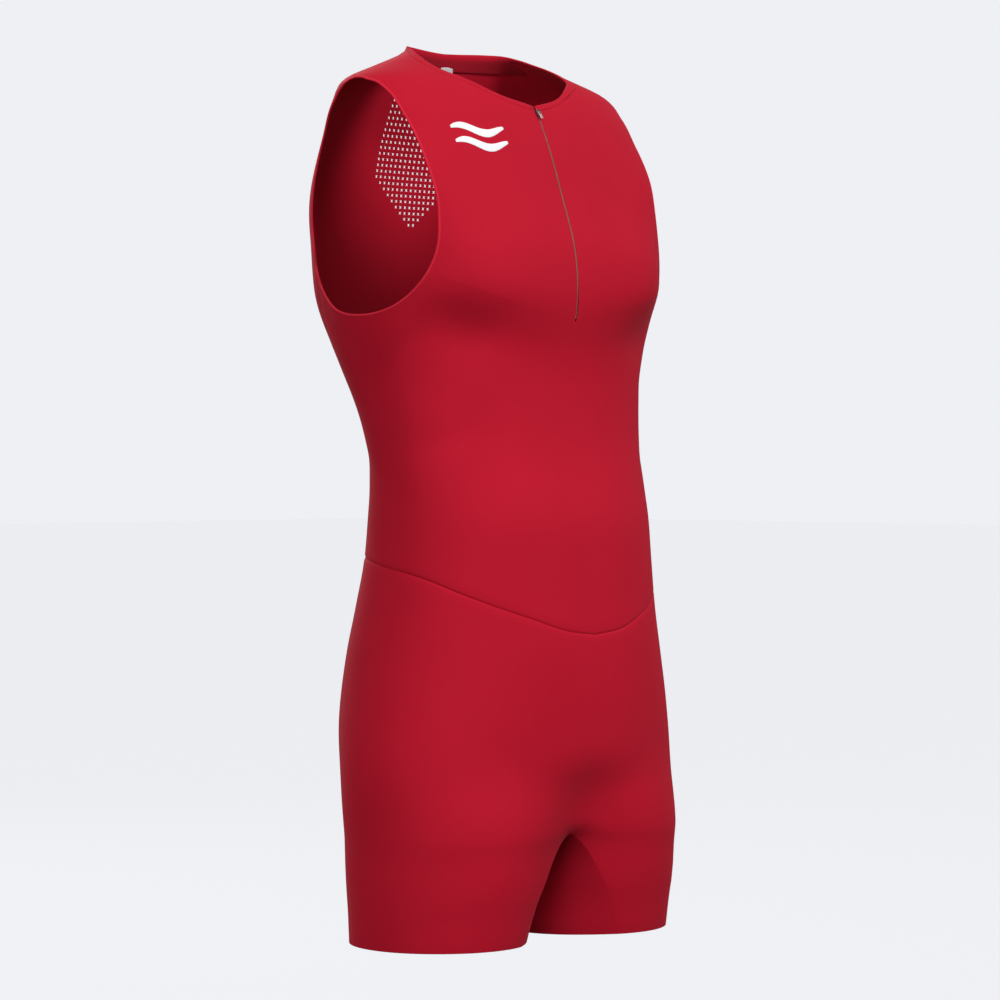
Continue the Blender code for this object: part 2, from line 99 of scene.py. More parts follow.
# height, centre across, centre deep, outer half width, half depth, front seam, back seam
LEG = (
    (-0.560, 0.0785, -0.0360, 0.0795, 0.1080, -0.1140, 0.0200),
    (-0.600, 0.0785, -0.0385, 0.0855, 0.1040, -0.1140, 0.0200),
    (-0.640, 0.0785, -0.0430, 0.0880, 0.0985, -0.1140, 0.0200),
    (-0.672, 0.0790, -0.0455, 0.0870, 0.0905, -0.1140, 0.0200),
    (-0.690, 0.0805, -0.0450, 0.0850, 0.0880, -0.1165, 0.0240),
    (-0.710, 0.0836, -0.0450, 0.0815, 0.0850, -0.1185, 0.0280),
    (-0.735, 0.0855, -0.0440, 0.0785, 0.0800, -0.1165, 0.0290),
    (-0.762, 0.0864, -0.0427, 0.0765, 0.0765, -0.1140, 0.0290),
)

# around, height, spread around, spread in height, out
FULLNESS = (
    (0.17, -0.195, 0.10, 0.042, 0.0075),
    (0.28, -0.115, 0.12, 0.050, 0.0130),
    (0.76, -0.135, 0.10, 0.060, 0.0130),
    (0.74, -0.215, 0.09, 0.040, 0.0085),
    (0.23, -0.246, 0.10, 0.026, -0.0055),
    (0.80, -0.590, 0.10, 0.055, 0.0060),
)

# around, height of the neck edge, height of the binding's lower edge
NECK = (
    (0.000, -0.0490, -0.0540),
    (0.056, -0.0415, -0.0462),
    (0.113, -0.0300, -0.0343),
    (0.206, -0.0195, -0.0236),
    (0.312, -0.0095, -0.0131),
    (0.400, -0.0040, -0.0073),
    (0.500, 0.0015, -0.0014),
    (0.600, 0.0048, 0.0008),
    (0.750, 0.0058, 0.0001),
    (1.000, 0.0040, -0.0020),
)

# around, height: front edge of the armhole, from under the arm to the shoulder
ARM_FRONT = (
    (0.296, -0.1960),
    (0.272, -0.1780),
    (0.258, -0.1550),
    (0.252, -0.1350),
    (0.258, -0.1130),
    (0.272, -0.0890),
    (0.294, -0.0670),
    (0.322, -0.0490),
    (0.362, -0.0375),
    (0.425, -0.0320),
    (0.500, -0.0300),
)

# around, height: lowest part of the armhole, front to back
ARM_UNDER = (
    (0.296, -0.1960),
    (0.330, -0.2110),
    (0.375, -0.2230),
    (0.430, -0.2300),
    (0.485, -0.2320),
    (0.540, -0.2295),
    (0.590, -0.2225),
    (0.630, -0.2105),
    (0.660, -0.1930),
)

# around, height: back edge of the armhole, from the side seam to the shoulder
ARM_BACK = (
    (0.660, -0.1930),
    (0.676, -0.1650),
    (0.678, -0.1350),
    (0.668, -0.1050),
    (0.645, -0.0780),
    (0.610, -0.0570),
    (0.560, -0.0410),
    (0.500, -0.0300),
)

# around, height: seam between the top and the shorts
WAIST = (
    (0.000, -0.5010),
    (0.056, -0.4975),
    (0.138, -0.4865),
    (0.225, -0.4755),
    (0.300, -0.4660),
    (0.406, -0.4530),
    (0.506, -0.4450),
    (0.650, -0.4375),
    (0.800, -0.4350),
    (1.000, -0.4350),
)


# ---------------------------------------------------------------- reading the tables
def smooth_row(table, at):
    """Read a table at one place, with a smooth curve through its rows."""
    rows = sorted(table)
    at = min(max(at, rows[0][0]), rows[-1][0])
    low = 0
    while low < len(rows) - 2 and rows[low + 1][0] < at:
        low += 1
    step = rows[low + 1][0] - rows[low][0]
    t = (at - rows[low][0]) / step
    values = []
    for k in range(1, len(rows[0])):
        tilt = []
        for j in (low, low + 1):
            before = max(j - 1, 0)
            after = min(j + 1, len(rows) - 1)
            wide_a = max(rows[j][0] - rows[before][0], 1e-9)
            wide_b = max(rows[after][0] - rows[j][0], 1e-9)
            rise_a = (rows[j][k] - rows[before][k]) / wide_a
            rise_b = (rows[after][k] - rows[j][k]) / wide_b
            if before == j:
                tilt.append(rise_b)
            elif after == j:
                tilt.append(rise_a)
            else:
                tilt.append((rise_a * wide_b + rise_b * wide_a) / (wide_a + wide_b))
        start = rows[low][k]
        end = rows[low + 1][k]
        value = (2 * t ** 3 - 3 * t ** 2 + 1) * start
        value += (t ** 3 - 2 * t ** 2 + t) * step * tilt[0]
        value += (3 * t ** 2 - 2 * t ** 3) * end
        value += (t ** 3 - t ** 2) * step * tilt[1]
        values.append(value)
    return values


LINE_WAY = 0.5            # rough metres in one step of "around", along an edge


def measured(points):
    """A line of (around, height) points, each after its distance along the line."""
    length = 0.0
    table = [(length, points[0][0], points[0][1])]
    for a, b in zip(points[:-1], points[1:]):
        length += sqrt((LINE_WAY * (b[0] - a[0])) ** 2 + (b[1] - a[1]) ** 2)
        table.append((length, b[0], b[1]))
    return table


def along(points, t):
    """Point a fraction t of the way along a list of (around, height) points."""
    table = measured(points)
    whole = table[-1][0]
    shares = [(length / whole, around, height) for length, around, height in table]
    around, height = smooth_row(shares, t)
    return around, height


def mix(a, b, t):
    return a + (b - a) * t


# ---------------------------------------------------------------- body surface
def leg_share(z):
    """0 at the crotch, 1 at the hem, quick to leave the crotch."""
    return sqrt(min(max((CROTCH - z) / (CROTCH - HEM), 0.0), 1.0))


def outline(z):
    """Half outline at one height: centre, half sizes, roundness and both seam ends."""
    half_width, front, back = smooth_row(TRUNK, z)
    middle = (front + back) / 2
    depth = (back - front) / 2
    trunk = (0.0, middle, half_width, depth, ROUNDNESS, 0.0, front, back)
    if z > MERGE_TOP:
        return trunk
    centre_x, centre_y, width, depth, front_y, back_y = smooth_row(LEG, z)
    seam_x = HEM_SEAM_X * leg_share(z) ** SEAM_CURVE
    leg = (centre_x, centre_y, width, depth, 1.0, seam_x, front_y, back_y)
    if z <= CROTCH:
        return leg
    step = (MERGE_TOP - z) / (MERGE_TOP - CROTCH)
    share = step ** 3 * (4 - 3 * step)
    return tuple(mix(a, b, share) for a, b in zip(trunk, leg))


def power(value, exponent):
    return abs(value) ** exponent * (1 if value >= 0 else -1)


def on_body(around, z):
    """Point on the suit's outer face."""
    centre_x, centre_y, width, depth, round_off, seam_x, front_y, back_y = outline(z)
    seam_y = front_y if around < 0.5 else back_y
    part = abs(1 - 2 * around)
    side = power((seam_x - centre_x) / width, 1 / round_off)
    deep = power((seam_y - centre_y) / depth, 1 / round_off)
    corner = atan2(deep, side)
    quarter = pi / 2 if corner > 0 else -pi / 2
    turn = quarter * part + (corner - quarter) * part ** 3
    x = centre_x + width * power(cos(turn), round_off)
    y = centre_y + depth * power(sin(turn), round_off)
    x += (seam_x - centre_x - width * power(cos(corner), round_off)) * part ** 6
    y += (seam_y - centre_y - depth * power(sin(corner), round_off)) * part ** 6
    half_width, front, back = smooth_row(TRUNK, z)
    way_x = x / half_width
    way_y = (y - (front + back) / 2) / ((back - front) / 2)
    size = sqrt(way_x ** 2 + way_y ** 2) + 1e-9
    push = 0.0
    for at, height, spread, tall, swell in FULLNESS:
        push += swell * exp(-((around - at) / spread) ** 2 - ((z - height) / tall) ** 2)
    calm = min(1.0, around / 0.05, (1 - around) / 0.05)
    return Vector((x + push * calm * way_x / size, y + push * way_y / size, z))


def body(around, z, out=0.0):
    """Point on the suit's outer face, or moved straight off it by out."""
    point = on_body(around, z)
    if not out:
        return point
    round_way = on_body(around + 0.004, z) - on_body(around - 0.004, z)
    up_way = on_body(around, z + 0.001) - on_body(around, z - 0.001)
    away = round_way.cross(up_way).normalized()
    if around in (0.0, 1.0):
        away.x = 0.0
    return point + away.normalized() * out


def inner_leg(across, z):
    """Inner face of one leg; across runs from the front seam to the back seam."""
    share = leg_share(z)
    front_y, back_y = smooth_row(LEG, z)[4:6]
    seam_x = HEM_SEAM_X * share ** SEAM_CURVE
    inner_x = HEM_INNER_X * share ** 0.8
    flatness = mix(3.2, 2.5, share)
    x = inner_x + (seam_x - inner_x) * abs(2 * across - 1) ** flatness
    return Vector((x, mix(front_y, back_y, across), z))


# ---------------------------------------------------------------- creases
# side, around, height, lean, length, width, depth: soft troughs and ridges
CREASES = (
    (1, 0.18, -0.248, 0.20, 0.060, 0.018, -0.0012),
    (-1, 0.17, -0.252, 0.16, 0.065, 0.020, -0.0016),
    (1, 0.17, -0.212, 0.15, 0.060, 0.018, 0.0018),
    (-1, 0.18, -0.214, 0.12, 0.060, 0.018, 0.0020),
    (1, 0.40, -0.262, 0.55, 0.060, 0.010, -0.0009),
    (-1, 0.42, -0.270, -0.50, 0.070, 0.011, -0.0010),
    (-1, 0.30, -0.335, -0.15, 0.060, 0.012, -0.0006),
    (1, 0.33, -0.350, 0.20, 0.055, 0.010, -0.0006),
    (1, 0.00, -0.640, 0.00, 0.034, 0.032, -0.0030),
    (1, 0.10, -0.622, 0.62, 0.055, 0.017, -0.0009),
    (-1, 0.10, -0.624, 0.58, 0.058, 0.018, -0.0010),
    (1, 0.26, -0.690, 0.35, 0.045, 0.010, -0.0006),
    (-1, 0.30, -0.700, -0.30, 0.050, 0.011, -0.0006),
    (1, 0.70, -0.330, -0.30, 0.080, 0.014, -0.0012),
    (-1, 0.72, -0.345, 0.35, 0.090, 0.015, -0.0013),
    (1, 0.86, -0.375, -0.20, 0.070, 0.012, -0.0009),
    (-1, 0.88, -0.390, 0.15, 0.060, 0.012, -0.0008),
    (1, 0.90, -0.640, -0.95, 0.055, 0.013, -0.0014),
    (-1, 0.89, -0.645, 0.90, 0.060, 0.013, -0.0015),
    (1, 0.78, -0.655, -0.35, 0.070, 0.012, -0.0010),
    (-1, 0.77, -0.660, 0.30, 0.065, 0.012, -0.0010),
    (1, 0.62, -0.225, -0.60, 0.050, 0.010, -0.0008),
    (-1, 0.61, -0.232, 0.55, 0.055, 0.010, -0.0008),
)
ROUND_WAY = 0.45          # rough metres of cloth in one step of "around"
RIPPLE = 0.0005           # slow unevenness of the whole cloth
RIPPLE_ROUND = 6.0
RIPPLE_UP = 14.0
RIPPLE_PLACE = 1.7        # where the ripple is read from
CALM_ROUND = 0.03         # the ripple dies out this near the middle


def crease(side, around, z):
    """How far the cloth stands in or out at one place."""
    total = 0.0
    for part, at, height, lean, length, width, depth in CREASES:
        gap = around - at
        if part != side:
            gap = (-around if around < 0.5 else 2 - around) - at
        across = gap * ROUND_WAY
        up = z - height
        run = across * cos(lean) + up * sin(lean)
        off = -across * sin(lean) + up * cos(lean)
        total += depth * exp(-(run / length) ** 2 - (off / width) ** 2)
    ripple = noise.noise(Vector((side * around * RIPPLE_ROUND, z * RIPPLE_UP, RIPPLE_PLACE)))
    calm = min(1.0, around / CALM_ROUND, (1 - around) / CALM_ROUND)
    trunk_share = min(max((z - CROTCH) / 0.02, 0.0), 1.0)
    return total * mix(calm, 1.0, trunk_share) + RIPPLE * ripple * calm


def cloth_at(side, around, z, out=0.0):
    """Point on the worn cloth, with its creases, on one side of the suit."""
    point = body(around, z, out + crease(side, around, z))
    return Vector((side * point.x, point.y, point.z))


# ---------------------------------------------------------------- mesh helpers
def new_piece(name, bm, finish):
    """Make a piece of the garment from a finished mesh."""
    mesh = bpy.data.meshes.new(name)
    bm.to_mesh(mesh)
    bm.free()
    piece = bpy.data.objects.new(name, mesh)
    bpy.context.scene.collection.objects.link(piece)
    mesh.materials.append(finish)
    for face in mesh.polygons:
        face.use_smooth = True
    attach(piece, "garment")
    return piece


def lay_grid(bm, place, across, up):
    """Add a grid, lay it with place(u, v) and note u and v as its UV map."""
    uv = bm.loops.layers.uv.verify()
    made = bmesh.ops.create_grid(bm, x_segments=across, y_segments=up, size=0.5)
    flat = {vert: (vert.co.x + 0.5, vert.co.y + 0.5) for vert in made["verts"]}
    for vert, (u, v) in flat.items():
        vert.co = place(u, v)
    faces = {face for vert in flat for face in vert.link_faces}
    for face in faces:
        for loop in face.loops:
            loop[uv].uv = flat[loop.vert]


MIDDLE_Y = -0.03          # middle of the body, front to back
JOIN_GAP = 2e-5           # grids join where they are this near


def settle(bm, gap):
    """Join grids, draw the seam edges back and turn every face outwards."""
    bmesh.ops.remove_doubles(bm, verts=bm.verts, dist=JOIN_GAP)
    bm.normal_update()
    moves = []
    for vert in bm.verts:
        rim = [edge for edge in vert.link_edges if edge.is_boundary]
        if len(rim) != 2:
            continue
        inside = Vector((0.0, 0.0, 0.0))
        for face in vert.link_faces:
            inside += face.calc_center_median() - vert.co
        tangent = (rim[0].other_vert(vert).co - rim[1].other_vert(vert).co).normalized()
        inside -= tangent * inside.dot(tangent)
        moves.append((vert, inside.normalized() * gap))
    for vert, move in moves:
        vert.co += move
    bmesh.ops.recalc_face_normals(bm, faces=bm.faces)
    score = 0.0
    for face in bm.faces:
        middle = face.calc_center_median()
        score += face.normal.x * middle.x + face.normal.y * (middle.y - MIDDLE_Y)
    if score < 0:
        bmesh.ops.reverse_faces(bm, faces=bm.faces)


EASE_REACHES = (0.020, 0.034, 0.048)      # how far above and below the crotch
EASE_STEPS = 18


def ease_crotch(bm):
    """Let the cloth run smoothly from the hips into the legs."""
    for step in range(EASE_STEPS):
        reach = EASE_REACHES[step % len(EASE_REACHES)]
        band = [
            vert for vert in bm.verts
            if abs(vert.co.z - CROTCH) < reach and not vert.is_boundary
        ]
        bmesh.ops.smooth_vert(
            bm, verts=band, factor=0.5, use_axis_x=True, use_axis_y=True, use_axis_z=True,
        )


def add_wall(piece, wall=KNIT):
    """Give a finished skin its thickness, inwards."""
    made = piece.modifiers.new("wall", "SOLIDIFY")
    made.thickness = wall
    made.offset = -1.0
    made.use_rim = True
    lie = piece.modifiers.new("even_shading", "WEIGHTED_NORMAL")
    lie.weight = 90
    return piece


def patch(name, place, across, up, finish, wall):
    """One small skin laid by place(u, v), with its thickness."""
    bm = bmesh.new()
    lay_grid(bm, place, across, up)
    settle(bm, 0.0)
    return add_wall(new_piece(name, bm, finish), wall)


# ---------------------------------------------------------------- lines on the body
def waist(around):
    """Height of the waist seam."""
    return smooth_row(WAIST, around)[0]


def under_arm(around):
    """Height that the level rows of the front climb to, below the yoke and the armhole."""
    if around <= YOKE:
        return mix(SLIT_END, ARM_UNDER[0][1], around / YOKE)
    return smooth_row(ARM_UNDER, around)[0]


def level(height):
    return lambda around: height


NECK_STEPS = 12


def neck_line(start, end):
    """The binding's seam as (around, height) points."""
    points = []
    for k in range(NECK_STEPS + 1):
        around = mix(start, end, k / NECK_STEPS)
        points.append((around, smooth_row(NECK, around)[1]))
    return points


FRONT_NECK = neck_line(0.0, SHOULDER)
BACK_NECK = neck_line(1.0, SHOULDER)
FRONT_ROWS = (32, 22)     # yoke rows that start on the zip, and on the neck
MESH_PITCH = 0.0056       # spacing of the back mesh zone's holes, across
MESH_COLUMNS = 9          # columns of holes each side of the middle
MESH_TIP = -0.1480        # lowest hole, on the centre back
MESH_RISE = 0.84          # how fast the zone's lower edge climbs outwards
HOLE = 0.00078            # radius of a hole
MID_TOP = -0.0359         # top of the level rows across the upper back
SEAM_DIP = 0.0009         # how far a panel dips into its seam
NARROW_ROW = 0.35         # height of a row on a seam, against the other rows


def easing(t, rows):
    """Rows of a patch with one narrow row at each end, for the seams."""
    row = t * rows
    whole = rows - 2 + 2 * NARROW_ROW
    if row <= 1:
        return row * NARROW_ROW / whole
    if row >= rows - 1:
        return 1 - (rows - row) * NARROW_ROW / whole
    return (row - 1 + NARROW_ROW) / whole


def seam_dip(v, low, high):
    """The rows on a seam sit a little lower than the cloth beside them."""
    if low and v < 1e-4 or high and v > 1 - 1e-4:
        return -SEAM_DIP
    return 0.0


def between(side, start, end, bottom, top, rows, dips):
    """Level rows from one line round the body up to another."""
    def place(u, v):
        around = mix(start, end, u)
        z = mix(bottom(around), top(around), easing(v, rows))
        return cloth_at(side, around, z, seam_dip(v, *dips))
    return place


def front_left(v):
    """Inner edge of the front yoke: up the zip opening, then along the neck."""
    share = FRONT_ROWS[0] / sum(FRONT_ROWS)
    if v <= share + 1e-6:
        row = FRONT_ROWS[0] * v / share
        start = SLIT_END + SLIT_NOTCH * min(row, 1.0)
        return 0.0, mix(start, FRONT_NECK[0][1], max(row - 1, 0.0) / (FRONT_ROWS[0] - 1))
    return along(FRONT_NECK, (v - share) / (1 - share))


def yoke(side):
    """Front yoke, from the zip and neck out to the armhole."""
    def place(u, v):
        a = front_left(v)
        b = along(ARM_FRONT, v)
        point = cloth_at(side, mix(a[0], b[0], u), mix(a[1], b[1], u))
        if v > 0.001 and abs(point.x) < SLIT_HALF:
            point.x = side * SLIT_HALF
        return point
    return place


def arm_back_at(z):
    """Where the back armhole edge is, round the body, at one height."""
    return smooth_row([(height, around) for around, height in ARM_BACK], z)[0]


def back_around(z, x):
    """Round-the-body place of a point on the back, x from the middle."""
    half_width = smooth_row(TRUNK, z)[0]
    around = 1 - asin(min(x / half_width, 1.0) ** (1 / ROUNDNESS)) / pi
    for step in range(4):
        around += (on_body(around, z).x - x) / (pi * half_width)
    return min(around, 1.0)


BACK_COLUMNS = (16, MESH_COLUMNS)         # beside the mesh zone, and in it
BACK_MID_ROWS = 31
CAP_SPLIT = 0.40          # share of the columns that end on the shoulder seam
CAP_BEND = 0.5            # share of the columns that follow the armhole's curve
NECK_TOP = 0.006          # nothing on the back of the neck is higher


def back_column(z, share):
    """Round-the-body place of one column of the upper back at height z."""
    total = sum(BACK_COLUMNS)
    column = share * total
    edge = back_around(z, MESH_PITCH * MESH_COLUMNS)
    if column <= BACK_COLUMNS[0]:
        return mix(arm_back_at(z), edge, column / BACK_COLUMNS[0])
    x = MESH_PITCH * (total - column)
    return back_around(z, x) if x > 1e-9 else 1.0


def back_lower(side, rows):
    """Back from the waist up to the foot of the armhole."""
    def place(u, v):
        around = back_column(ARM_BACK[0][1], u)
        z = mix(waist(around), ARM_BACK[0][1], easing(v, rows))
        return cloth_at(side, around, z, seam_dip(v, True, False))
    return place


def back_mid(side):
    """Level rows between the armholes."""
    def place(u, v):
        z = mix(ARM_BACK[0][1], MID_TOP, v)
        return cloth_at(side, back_column(z, u), z)
    return place


def back_cap(side):
    """Shoulder part of the back, up to the shoulder seam and the neck."""
    shoulder = [(SHOULDER, ARM_BACK[-1][1]), (SHOULDER, BACK_NECK[-1][1])]
    left = [point for point in ARM_BACK if point[1] > MID_TOP + 0.001]
    left = [(arm_back_at(MID_TOP), MID_TOP)] + left

    def place(u, v):
        if u <= CAP_SPLIT:
            top = (SHOULDER, mix(shoulder[0][1], shoulder[1][1], u / CAP_SPLIT))
        else:
            top = along(list(reversed(BACK_NECK)), (u - CAP_SPLIT) / (1 - CAP_SPLIT))
        low = (back_column(MID_TOP, u), MID_TOP)
        base = (mix(low[0], top[0], v), mix(low[1], top[1], v))
        edge = along(left, v)
        bend_round = edge[0] - mix(left[0][0], left[-1][0], v)
        bend_up = edge[1] - mix(left[0][1], left[-1][1], v)
        fade = max(0.0, 1 - u / CAP_BEND)
        return cloth_at(side, base[0] + bend_round * fade, min(base[1] + bend_up * fade, NECK_TOP))
    return place


def leg_rows(side, start, end):
    """Level rows from the crotch to the hem, closer together at the crotch."""
    def place(u, v):
        return cloth_at(side, mix(start, end, u), mix(CROTCH, HEM, v * v))
    return place


# ---------------------------------------------------------------- finishes
def group_socket(tree, name, way, kind="NodeSocketFloat"):
    tree.interface.new_socket(name=name, in_out=way, socket_type=kind)


def knit_group():
    """Fine jersey: slow tone drift, tiny loops and a brushed height."""
    tree = bpy.data.node_groups.new("fine_knit", "ShaderNodeTree")
    group_socket(tree, "Tone A", "INPUT", "NodeSocketColor")
    group_socket(tree, "Tone B", "INPUT", "NodeSocketColor")
    group_socket(tree, "Loop Count", "INPUT")
    group_socket(tree, "Color", "OUTPUT", "NodeSocketColor")
    group_socket(tree, "Roughness", "OUTPUT")
    group_socket(tree, "Height", "OUTPUT")
    node = tree.nodes.new
    link = tree.links.new
    start = node("NodeGroupInput")
    end = node("NodeGroupOutput")
    place = node("ShaderNodeTexCoord")
    drift = node("ShaderNodeTexNoise")
    drift.inputs["Scale"].default_value = 9.0
    drift.inputs["Detail"].default_value = 3.0
    fleck = node("ShaderNodeTexNoise")
    fleck.inputs["Scale"].default_value = 420.0
    fleck.inputs["Detail"].default_value = 2.0
    loops = node("ShaderNodeTexVoronoi")
    loops.feature = "F1"
    stretch = node("ShaderNodeMapping")
    stretch.inputs["Scale"].default_value = (1.0, 1.0, 0.65)
    blend = node("ShaderNodeMath")
    blend.operation = "MULTIPLY_ADD"
    blend.inputs[1].default_value = 0.35
    tones = node("ShaderNodeMix")
    tones.data_type = "RGBA"
    rough = node("ShaderNodeMapRange")
    rough.inputs["To Min"].default_value = 0.66
    rough.inputs["To Max"].default_value = 0.84
    for texture in (drift, fleck, stretch):
        link(place.outputs["Object"], texture.inputs["Vector"])
    link(stretch.outputs["Vector"], loops.inputs["Vector"])
    link(start.outputs["Loop Count"], loops.inputs["Scale"])
    link(fleck.outputs["Fac"], blend.inputs[0])
    link(drift.outputs["Fac"], blend.inputs[2])
    link(blend.outputs[0], tones.inputs["Factor"])
    link(start.outputs["Tone A"], tones.inputs["A"])
    link(start.outputs["Tone B"], tones.inputs["B"])
    link(tones.outputs["Result"], end.inputs["Color"])
    link(fleck.outputs["Fac"], rough.inputs["Value"])
    link(rough.outputs["Result"], end.inputs["Roughness"])
    link(loops.outputs["Distance"], end.inputs["Height"])
    return tree


KNIT_TREE = knit_group()


LOOPS = 1400.0            # knitted loops in one metre
LOOP_RELIEF = 0.08


def cloth_finish(name, tone_a, tone_b, sheen):
    """Matt knit or tape with a soft sheen, between two tones."""
    made = bpy.data.materials.new(name)
    made.use_nodes = True
    tree = made.node_tree
    shader = tree.nodes["Principled BSDF"]
    shader.inputs["Sheen Weight"].default_value = sheen
    shader.inputs["Sheen Roughness"].default_value = 0.45
    shader.inputs["Sheen Tint"].default_value = (1.0, 0.22, 0.26, 1.0)
    shader.inputs["Specular IOR Level"].default_value = 0.07
    weave = tree.nodes.new("ShaderNodeGroup")
    weave.node_tree = KNIT_TREE
    weave.inputs["Tone A"].default_value = tone_a
    weave.inputs["Tone B"].default_value = tone_b
    weave.inputs["Loop Count"].default_value = LOOPS
    relief = tree.nodes.new("ShaderNodeBump")
    relief.inputs["Strength"].default_value = LOOP_RELIEF
    relief.inputs["Distance"].default_value = 0.0003
    tree.links.new(weave.outputs["Color"], shader.inputs["Base Color"])
    tree.links.new(weave.outputs["Roughness"], shader.inputs["Roughness"])
    tree.links.new(weave.outputs["Height"], relief.inputs["Height"])
    tree.links.new(relief.outputs["Normal"], shader.inputs["Normal"])
    return made


def hard_finish(name, tone_a, tone_b, metal, gloss, scale):
    """Metal, plastic or print with fine marks and a drift of tone."""
    made = bpy.data.materials.new(name)
    made.use_nodes = True
    tree = made.node_tree
    shader = tree.nodes["Principled BSDF"]
    shader.inputs["Metallic"].default_value = metal
    place = tree.nodes.new("ShaderNodeTexCoord")
    marks = tree.nodes.new("ShaderNodeTexNoise")
    marks.inputs["Scale"].default_value = scale
    marks.inputs["Detail"].default_value = 4.0
    tones = tree.nodes.new("ShaderNodeMix")
    tones.data_type = "RGBA"
    tones.inputs["A"].default_value = tone_a
    tones.inputs["B"].default_value = tone_b
    rough = tree.nodes.new("ShaderNodeMapRange")
    rough.inputs["To Min"].default_value = gloss[0]
    rough.inputs["To Max"].default_value = gloss[1]
    relief = tree.nodes.new("ShaderNodeBump")
    relief.inputs["Strength"].default_value = 0.08
    relief.inputs["Distance"].default_value = 0.0002
    link = tree.links.new
    link(place.outputs["Object"], marks.inputs["Vector"])
    link(marks.outputs["Fac"], tones.inputs["Factor"])
    link(marks.outputs["Fac"], rough.inputs["Value"])
    link(marks.outputs["Fac"], relief.inputs["Height"])
    link(tones.outputs["Result"], shader.inputs["Base Color"])
    link(rough.outputs["Result"], shader.inputs["Roughness"])
    link(relief.outputs["Normal"], shader.inputs["Normal"])
    return made


red_knit = cloth_finish(
    "red_jersey", (0.400, 0.0050, 0.0180, 1.0), (0.500, 0.0075, 0.0260, 1.0), 0.12,
)
# painted highlight: a lighter copy of the red jersey, standing for light caught along the rolled
# armhole edges
edge_knit_painted_highlight = cloth_finish(
    "red_turned_edge_painted_highlight", (0.50, 0.010, 0.028, 1.0), (0.66, 0.018, 0.042, 1.0), 0.25,
)
tape_weave = cloth_finish(
    "dark_red_tape", (0.25, 0.005, 0.014, 1.0), (0.34, 0.008, 0.020, 1.0), 0.2,
)
label_weave = cloth_finish(
    "pale_label_weave", (0.50, 0.49, 0.50, 1.0), (0.66, 0.66, 0.67, 1.0), 0.2,
)
print_finish = hard_finish(
    "raised_white_print", (0.80, 0.80, 0.82, 1.0), (0.90, 0.90, 0.91, 1.0), 0.0, (0.35, 0.50), 600.0,
)
coil_finish = hard_finish(
    "coil_plastic", (0.40, 0.17, 0.14, 1.0), (0.52, 0.24, 0.20, 1.0), 0.0, (0.40, 0.55), 900.0,
)
slider_finish = hard_finish(
    "slider_enamel", (0.10, 0.07, 0.07, 1.0), (0.18, 0.12, 0.12, 1.0), 0.7, (0.28, 0.45), 900.0,
)
pull_finish = hard_finish(
    "pull_satin_metal", (0.50, 0.43, 0.42, 1.0), (0.66, 0.58, 0.56, 1.0), 0.8, (0.30, 0.48), 900.0,
)


# ---------------------------------------------------------------- knit panels
LOWER_ROWS = 40           # from the waist to the armholes
FRONT_COLUMNS = 22
FLANK_COLUMNS = 27        # under the arm
CAP_ROWS = 8
SHORTS_ROWS = 30
SHORTS_FRONT_COLUMNS = 44
SHORTS_BACK_COLUMNS = 25
INNER_COLUMNS = 24
LEG_ROWS = 16
HOLE_INSET = 0.0011       # cloth left round the middle of each face of the mesh zone
HOLE_NEAR = 0.0025        # a rim point this near a hole's middle belongs to it


def panel(name, bm, node):
    """Finish one knit panel, which stands for a node."""
    piece = add_wall(new_piece(name, bm, red_knit))
    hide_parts(node)
    return piece


def top_front_skin():
    bm = bmesh.new()
    for side in (1, -1):
        for start, end, columns in ((0.0, YOKE, FRONT_COLUMNS), (YOKE, SIDE, FLANK_COLUMNS)):
            place = between(side, start, end, waist, under_arm, LOWER_ROWS, (True, False))
            lay_grid(bm, place, columns, LOWER_ROWS)
        lay_grid(bm, yoke(side), FRONT_COLUMNS, sum(FRONT_ROWS))
    settle(bm, SEAM_DRAW)
    return bm


def in_mesh_zone(face):
    """Whether one face of the back lies in the zone of small holes."""
    middle = face.calc_center_median()
    if middle.y < 0.0 or abs(middle.x) > MESH_PITCH * MESH_COLUMNS:
        return False
    return MESH_TIP + MESH_RISE * abs(middle.x) < middle.z < MID_TOP


def cut_holes(bm, faces):
    """Turn each face of the zone into one small round hole."""
    bmesh.ops.inset_individual(bm, faces=faces, thickness=HOLE_INSET)
    middles = KDTree(len(faces))
    for k, face in enumerate(faces):
        middles.insert(face.calc_center_median(), k)
    middles.balance()
    rims = list({edge for face in faces for edge in face.edges})
    bmesh.ops.delete(bm, geom=faces, context="FACES_ONLY")
    bmesh.ops.subdivide_edges(bm, edges=rims, cuts=1)
    for vert in bm.verts:
        if vert.is_boundary:
            middle, index, distance = middles.find(vert.co)
            if distance < HOLE_NEAR:
                vert.co = middle + (vert.co - middle).normalized() * HOLE


def top_back_skin():
    bm = bmesh.new()
    columns = sum(BACK_COLUMNS)
    for side in (1, -1):
        lay_grid(bm, back_lower(side, LOWER_ROWS), columns, LOWER_ROWS)
        lay_grid(bm, back_mid(side), columns, BACK_MID_ROWS)
        lay_grid(bm, back_cap(side), columns, CAP_ROWS)
    settle(bm, SEAM_DRAW)
    cut_holes(bm, [face for face in bm.faces if in_mesh_zone(face)])
    return bm


def shorts_skin(start, columns):
    """Front or back of both legs, from its middle line to the side seams."""
    bm = bmesh.new()
    for side in (1, -1):
        place = between(side, start, SIDE, level(CROTCH), waist, SHORTS_ROWS, (False, True))
        lay_grid(bm, place, columns, SHORTS_ROWS)
        lay_grid(bm, leg_rows(side, start, SIDE), columns, LEG_ROWS)
    settle(bm, SEAM_DRAW)
    ease_crotch(bm)
    return bm


def inner_leg_rows(side):
    def place(u, v):
        point = inner_leg(u, mix(CROTCH, HEM, v * v))
        return Vector((side * point.x, point.y, point.z))
    return place


